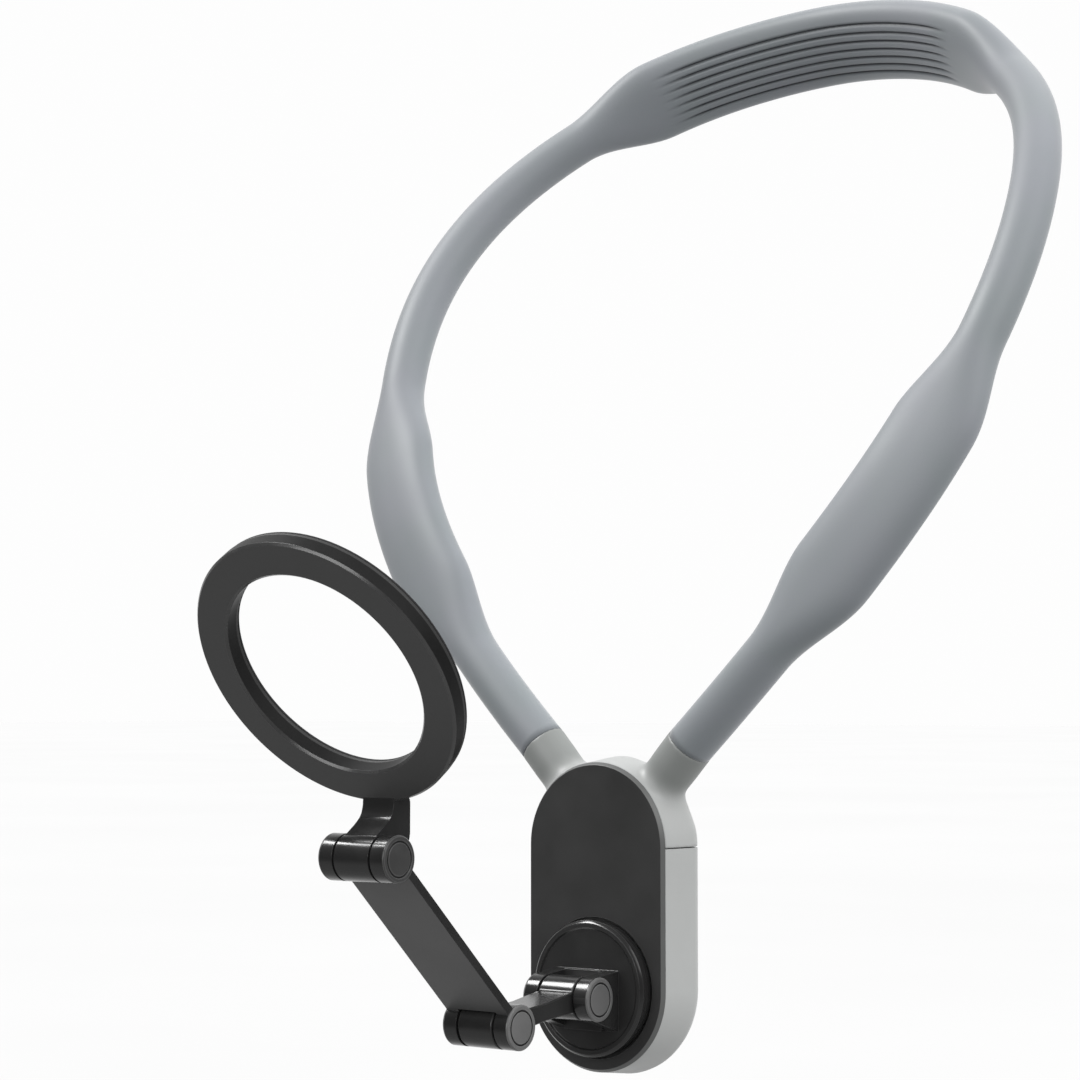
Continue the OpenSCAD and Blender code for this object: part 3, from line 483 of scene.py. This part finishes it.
def rounded_copy(node, finish=None):
    """A copy of a moulded or machined piece with the fine rounding that its real edges have.

    Corners are merged, coplanar triangles joined, then every sharp edge gets a round as wide as ROUNDING
    says, which carries a smoother and paler copy of the finish, the paler tone being a painted highlight.
    """
    piece = copy_of(node)
    work = bmesh.new()
    work.from_mesh(piece.data)
    bmesh.ops.remove_doubles(work, verts=work.verts, dist=MERGE * MM)
    bmesh.ops.dissolve_limit(work, angle_limit=math.radians(COPLANAR_DEG), verts=work.verts, edges=work.edges)
    work.to_mesh(piece.data)
    work.free()
    piece.data.shade_smooth()
    finish = finish or slot_of[node]
    # The rounds take the paler copy: a painted highlight along the edges
    dress(piece, finish, finish + EDGE if finish in EDGE_HIGHLIGHT_TONES else finish)
    bevel = piece.modifiers.new("edge_rounding", "BEVEL")
    bevel.width = ROUNDING[node] * MM
    bevel.segments = ROUND_STEPS
    bevel.limit_method = "ANGLE"
    bevel.angle_limit = math.radians(SHARP_DEG)
    bevel.miter_outer = "MITER_ARC"
    bevel.material = 1
    even = piece.modifiers.new("even_shading", "WEIGHTED_NORMAL")
    even.keep_sharp = False
    settle(piece)
    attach(piece, body_of[node])
    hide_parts(node)
    return piece


def recolour(piece, finish, chosen):
    """Gives the faces for which chosen(centre, normal) is true another finish."""
    piece.data.materials.append(FINISHES[finish])
    index = len(piece.data.materials) - 1
    for face in piece.data.polygons:
        if chosen(np.array(face.center), np.array(face.normal)):
            face.material_index = index


def unit(v):
    """Vectors of length one, along the last axis."""
    return v / np.linalg.norm(v, axis=-1, keepdims=True)


def ease(t):
    """A smooth step: three t squared minus two t cubed, held at 0 and 1 outside."""
    t = np.clip(t, 0.0, 1.0)
    return t * t * (3.0 - 2.0 * t)


def spline(guide, t):
    """Points of a clamped cubic B-spline: the guide points weighted by the Cox and de Boor recursion."""
    spans = len(guide) - DEGREE
    knots = np.concatenate([np.zeros(DEGREE), np.linspace(0.0, 1.0, spans + 1), np.ones(DEGREE)])
    t = np.minimum(t, LAST_T)[:, None]
    weight = ((knots[:-1] <= t) & (t < knots[1:])).astype(float)
    for p in range(1, DEGREE + 1):
        rise = knots[p:-1] - knots[:-p - 1]
        fall = knots[p + 1:] - knots[1:-p]
        left = np.where(rise > 0, (t - knots[:-p - 1]) / np.where(rise > 0, rise, 1.0), 0.0)
        right = np.where(fall > 0, (knots[p + 1:] - t) / np.where(fall > 0, fall, 1.0), 0.0)
        weight = left * weight[:, :-1] + right * weight[:, 1:]
    return weight @ guide


class HalfLoop:
    """The strap's right half by arc length: its middle line, its direction and its inner side."""

    def __init__(self):
        """Places the seam and the spline's guide points, and tables the arc length along the spline."""
        turn = math.radians(COLLAR_ANGLE_DEG)
        self.out = np.array([math.cos(turn), 0.0, math.sin(turn)])
        self.seam = np.array([0.0, COLLAR_DEPTH, PLATE_SPAN]) + COLLAR_REACH * self.out
        shares = np.array(GUIDE_SHARES) * [LOOP_W / 2, LOOP_DEPTH, LOOP_RISE]
        self.guide = np.vstack([self.seam, shares + [0.0, self.seam[1], self.seam[2]]])
        self.table_t = np.linspace(0.0, 1.0, TABLE_POINTS)
        trail = spline(self.guide, self.table_t)
        self.gone = np.concatenate([[0.0], np.cumsum(np.linalg.norm(np.diff(trail, axis=0), axis=1))])
        self.length = self.gone[-1]

    def at(self, s):
        """Middle line: straight into the collar below 0, then along the spline by arc length."""
        on = spline(self.guide, np.interp(s, self.gone, self.table_t))
        return np.where(s[:, None] < 0, self.seam + s[:, None] * self.out, on)

    def heading(self, s):
        """Direction: the chord across a short piece of the middle line."""
        way = unit(self.at(np.minimum(s + PROBE, self.length)) - self.at(s - PROBE))
        way[s >= self.length - TINY] = [-1.0, 0.0, 0.0]
        way[s <= 0] = self.out
        return way

    def inward(self, s):
        """Inner side: it faces the chest, then the side of the neck, then the nape.

        The three ways are mixed by the shares a and b, and the part along the heading is taken away.
        """
        slope = math.radians(NAPE_SLOPE_DEG)
        nape = np.array([0.0, -math.cos(slope), -math.sin(slope)])
        a = ease((s - CHEST_PAD["start"] - CHEST_PAD["length"]) / TURN)[:, None]
        b = ease((s - (self.length - NAPE_PAD["half"] - TURN)) / NAPE_TURN)[:, None]
        side = (1 - a) * [0.0, 1.0, 0.0] + a * (1 - b) * np.array([-1.0, 0.0, 0.0]) + a * b * nape
        way = self.heading(s)
        return unit(side - np.sum(side * way, axis=1, keepdims=True) * way)


def half_size(side, chest, nape, plug):
    """Half of the strap's width or thickness: the round's, plus each pad's extra half times its share.

    The plug inside the collar has its own half size. SKIN_INSET is taken off everywhere.
    """
    swollen = STRAP_D / 2 + (CHEST_PAD[side] - STRAP_D) / 2 * chest + (NAPE_PAD[side] - STRAP_D) / 2 * nape
    return np.where(plug, SPIGOT_D / 2, swollen)[:, None] - SKIN_INSET


def sleeve_sections(loop, s, around):
    """Outer surface of the strap.

    At arc length s and angle a: middle + half width * cos(a) across + half thickness * sin(a) inward. The
    oval is a superellipse that squares up a little on the pads. On the nape pad the inner side is lowered by
    a rounded notch at each groove.
    """
    chest_end = CHEST_PAD["start"] + CHEST_PAD["length"]
    chest = ease((s - CHEST_PAD["start"]) / SWELL) * ease((chest_end - s) / SWELL)
    nape = ease((s - loop.length + NAPE_PAD["half"]) / SWELL)
    plug = s < -TINY
    power = (2.0 + PAD_POWER * np.maximum(chest, nape))[:, None]
    cos, sin = np.cos(around)[None, :], np.sin(around)[None, :]
    reach = (np.abs(cos) ** power + np.abs(sin) ** power) ** (-1.0 / power)
    wide = half_size("width", chest, nape, plug) * reach * cos
    thick = half_size("thick", chest, nape, plug) * reach * sin
    fade = ease((s - loop.length + NAPE_PAD["half"] - SWELL) / (SWELL / 2))[:, None]
    lines = (np.arange(GROOVES["count"]) - (GROOVES["count"] - 1) / 2) * GROOVES["pitch"]
    near = np.min(np.abs(wide[:, :, None] - lines[None, None, :]), axis=2)
    notch = np.where(sin > 0, fade * (1.0 - ease(near / GROOVES["half_width"])), 0.0)
    thick = thick - GROOVES["depth"] * notch
    way, side = loop.heading(s), loop.inward(s)
    across = np.cross(way, side)
    middle = loop.at(s)[:, None, :]
    return middle + wide[:, :, None] * across[:, None, :] + thick[:, :, None] * side[:, None, :], notch


def bore_sections(loop, s, around, radius):
    """Round bore: at arc length s and angle a, middle + radius cos(a) across + radius sin(a) in."""
    way, side = loop.heading(s), loop.inward(s)
    across = np.cross(way, side)
    cos, sin = np.cos(around), np.sin(around)
    return loop.at(s)[:, None, :] + radius * (cos[None, :, None] * across[:, None, :]
                                              + sin[None, :, None] * side[:, None, :])


def both_halves(right):
    """The sections of the right half, then those of its mirror image back to the other end."""
    return np.concatenate([right, right[-2::-1] * [-1.0, 1.0, 1.0]])


def grid_faces(rows, columns, first=0, flip=False):
    """Quads of a grid closed around its columns: two neighbours in a row, and the same two in the next."""
    i, j = np.meshgrid(np.arange(rows - 1), np.arange(columns), indexing="ij")
    k = (j + 1) % columns
    a, b = i * columns + j, i * columns + k
    quads = np.stack([a, b, b + columns, a + columns], axis=-1).reshape(-1, 4) + first
    return quads[:, ::-1] if flip else quads


def mesh_piece(name, points, quads, finish, body, replaces):
    """A mesh from whole arrays of points and quads."""
    mesh = bpy.data.meshes.new(name)
    mesh.from_pydata(points, [], quads.tolist())
    mesh.shade_smooth()
    piece = link(bpy.data.objects.new(name, mesh))
    work = bmesh.new()
    work.from_mesh(mesh)
    bmesh.ops.recalc_face_normals(work, faces=work.faces)
    work.to_mesh(mesh)
    work.free()
    dress(piece, finish)
    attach(piece, body)
    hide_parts(replaces)
    return piece


def carry(mesh, attribute, values):
    """Stores one number per point in a mesh's attribute."""
    mesh.attributes.new(attribute, "FLOAT", "POINT").data.foreach_set("value", values.astype(np.float32))


def make_sleeve():
    """The silicone sleeve: outside and bore swept along the loop, joined by a flat rim at each end."""
    loop = HalfLoop()
    edge = (GROOVES["count"] + GROOVE_MARGIN) / 2 * GROOVES["pitch"]
    inner_cos = np.linspace(edge, -edge, NOTCH_COLUMNS) / (NAPE_PAD["width"] / 2)
    inner = np.arccos(np.clip(inner_cos, -1, 1))
    outer = np.linspace(inner[-1], inner[0] + 2 * math.pi, PLAIN_COLUMNS)[1:-1]
    around = np.concatenate([inner, outer])
    half = np.concatenate([[-SPIGOT_LEN, -SEAM_STEP], np.linspace(0.0, loop.length, SKIN_ROWS)])
    right, notch = sleeve_sections(loop, half, around)
    outside = both_halves(right)
    notch = np.concatenate([notch, notch[-2::-1]])
    short = np.concatenate([[-SPIGOT_LEN], np.linspace(0.0, loop.length, BORE_ROWS)])
    bore = both_halves(bore_sections(loop, short, around, BORE_D / 2))
    columns = len(around)
    rows, bore_rows = len(outside), len(bore)
    start = rows * columns
    points = np.concatenate([outside.reshape(-1, 3), bore.reshape(-1, 3)]) * MM + joint_at["disc_swivel"]
    j = np.arange(columns)
    k = (j + 1) % columns
    last, bore_last = (rows - 1) * columns, start + (bore_rows - 1) * columns
    quads = np.concatenate([
        grid_faces(rows, columns),
        grid_faces(bore_rows, columns, start, flip=True),
        np.stack([j, start + j, start + k, k], axis=-1),
        np.stack([last + j, last + k, bore_last + k, bore_last + j], axis=-1),
    ])
    sleeve = mesh_piece("loop_sleeve", points, quads, "strap_silicone", "chest", "strap_sleeve")
    # The grooves' depth, which sets the painted shade in them
    carry(sleeve.data, GROOVE_DEPTH, np.concatenate([notch.reshape(-1), np.zeros(bore.size // 3)]))


def make_front_plate():
    """The black plate, with the paler bevelled lip that frames it."""
    plate = rounded_copy("front_plate")
    recolour(plate, "plate_rim", lambda at, n: -FLAT < n[1] < -PLATE_SIDE)


def relax(points, edges, weight, rounds):
    """Pulls each point towards the middle of its neighbours, by its weight, a number of times."""
    a, b = edges[:, 0], edges[:, 1]
    count = np.bincount(np.concatenate([a, b]), minlength=len(points))[:, None]
    for _ in range(rounds):
        total = np.stack([np.bincount(np.concatenate([a, b]), np.concatenate([points[b, i], points[a, i]]),
                                      minlength=len(points)) for i in range(3)], axis=1)
        points = points + weight[:, None] * (total / count - points)
    return points


def make_shoulder_housing():
    """The upper housing, with its two collars growing softly out of the shell.

    The shell is remeshed finely. Each point near the root of a collar is relaxed, by a weight that fades
    along the collar, inside its bore, far from its axis and near the plate's seat. So the corner becomes a
    fillet. Out along each collar the grey is darkened by a share of painted shade.
    """
    piece = copy_of("shoulder_housing")
    fine = piece.modifiers.new("fine_mesh", "REMESH")
    fine.mode = "VOXEL"
    fine.voxel_size = VOXEL * MM
    settle(piece)
    mesh = piece.data
    flat = np.empty(len(mesh.vertices) * 3)
    mesh.vertices.foreach_get("co", flat)
    points = flat.reshape(-1, 3) / MM
    pairs = np.empty(len(mesh.edges) * 2, dtype=np.int32)
    mesh.edges.foreach_get("vertices", pairs)
    pairs = pairs.reshape(-1, 2)
    centre = joint_at["disc_swivel"] / MM + [0.0, COLLAR_DEPTH, PLATE_SPAN]
    turn = math.radians(COLLAR_ANGLE_DEG)
    weight = np.zeros(len(points))
    share = np.zeros(len(points))
    for side in (-1.0, 1.0):
        way = np.array([side * math.cos(turn), 0.0, math.sin(turn)])
        along = (points - centre) @ way
        away = np.linalg.norm(points - centre - along[:, None] * way, axis=1)
        near = ease(1.0 - np.abs(along - COLLAR_ROOT) / FILLET_REACH)
        shell = ease((away - COLLAR_BORE[0]) / COLLAR_BORE[1]) * ease((COLLAR_FAR[0] - away) / COLLAR_FAR[1])
        weight = np.maximum(weight, near * shell)
        # Painted shade: darker grey out along the collar, near its axis
        shade_along = ease((along - COLLAR_ROOT + COLLAR_SHADE_START[0]) / COLLAR_SHADE_START[1])
        share = np.maximum(share, shade_along * ease((COLLAR_SHADE_FAR[0] - away) / COLLAR_SHADE_FAR[1]))
    behind = points[:, 1] - joint_at["disc_swivel"][1] / MM
    weight *= ease((behind - PLATE_SEAT[0]) / PLATE_SEAT[1])
    points = relax(points, pairs, ROOT_PULL * weight, ROOT_ROUNDS)
    points = relax(points, pairs, np.full(len(points), SKIN_PULL), SKIN_ROUNDS)
    mesh.vertices.foreach_set("co", (points * MM).reshape(-1))
    mesh.shade_smooth()
    # The share of painted shade on the collars
    carry(mesh, COLLAR_SHADE_SHARE, share)
    dress(piece, "housing_grey")
    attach(piece, "chest")
    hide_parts("shoulder_housing")


def make_turning_disc():
    """The turning disc: glossy bracket and rim, and a satin face."""
    disc = rounded_copy("turning_disc")
    recolour(disc, "disc_face", lambda at, n: n[1] < -DISC_FLAT)


def make_long_link():
    """The long link: glossy ears, and a satin flat between them."""
    bar = rounded_copy("long_link")
    low, high = joint_at["elbow_hinge"], joint_at["ring_hinge"]
    way = (high - low) / np.linalg.norm(high - low)
    out = np.cross(way, [1.0, 0.0, 0.0])
    reach = np.linalg.norm(high - low)
    recolour(bar, "arm_satin", lambda at, n: abs(n @ out) > FLAT and
             BARREL_R * MM < (at - low) @ way < reach - BARREL_R * MM)


def make_ring_body():
    """The ring's shell: satin front, walls darkened with painted shade, and a glossy neck and barrel towards the
    hinge.
    """
    ring = rounded_copy("ring_body", "ring_black")
    hinge = joint_at["ring_hinge"] / MM
    tilt = math.radians(RING_TILT_DEG)
    up = np.array([0.0, -math.sin(tilt), math.cos(tilt)])
    front = np.array([0.0, -math.cos(tilt), -math.sin(tilt)])
    # Painted shade: the walls get a darker copy of the ring's finish
    recolour(ring, "ring_wall", lambda at, n: n @ front < RING_WALL)
    recolour(ring, "ring_chamfer", lambda at, n: RING_WALL < n @ front < FLAT)
    recolour(ring, "arm_black", lambda at, n: (at / MM - hinge) @ up < RING_FOOT or
             (abs(at[0]) < (NECK_W + NECK_SLACK) / 2 * MM and (at / MM - hinge) @ up < NECK_TOP))


def make_hinge_caps():
    """The end caps of the three hinges, with a turned groove in their faces, darkened with painted shade."""
    for hinge, node, finish in HINGE_CAPS:
        caps = rounded_copy(node, finish)
        centre = joint_at[hinge]
        # Painted shade: the faces in the turned groove are nearly black
        recolour(caps, "cap_groove", lambda at, n: abs(math.hypot(at[1] - centre[1], at[2] - centre[2])
                                                       - CAP_GROOVE_R * MM) < CAP_GROOVE_HALF * MM)


make_sleeve()
make_front_plate()
make_shoulder_housing()
rounded_copy("lower_housing")
make_turning_disc()
rounded_copy("short_link")
make_long_link()
make_ring_body()
rounded_copy("ring_cover")
rounded_copy("ring_pad")
make_hinge_caps()
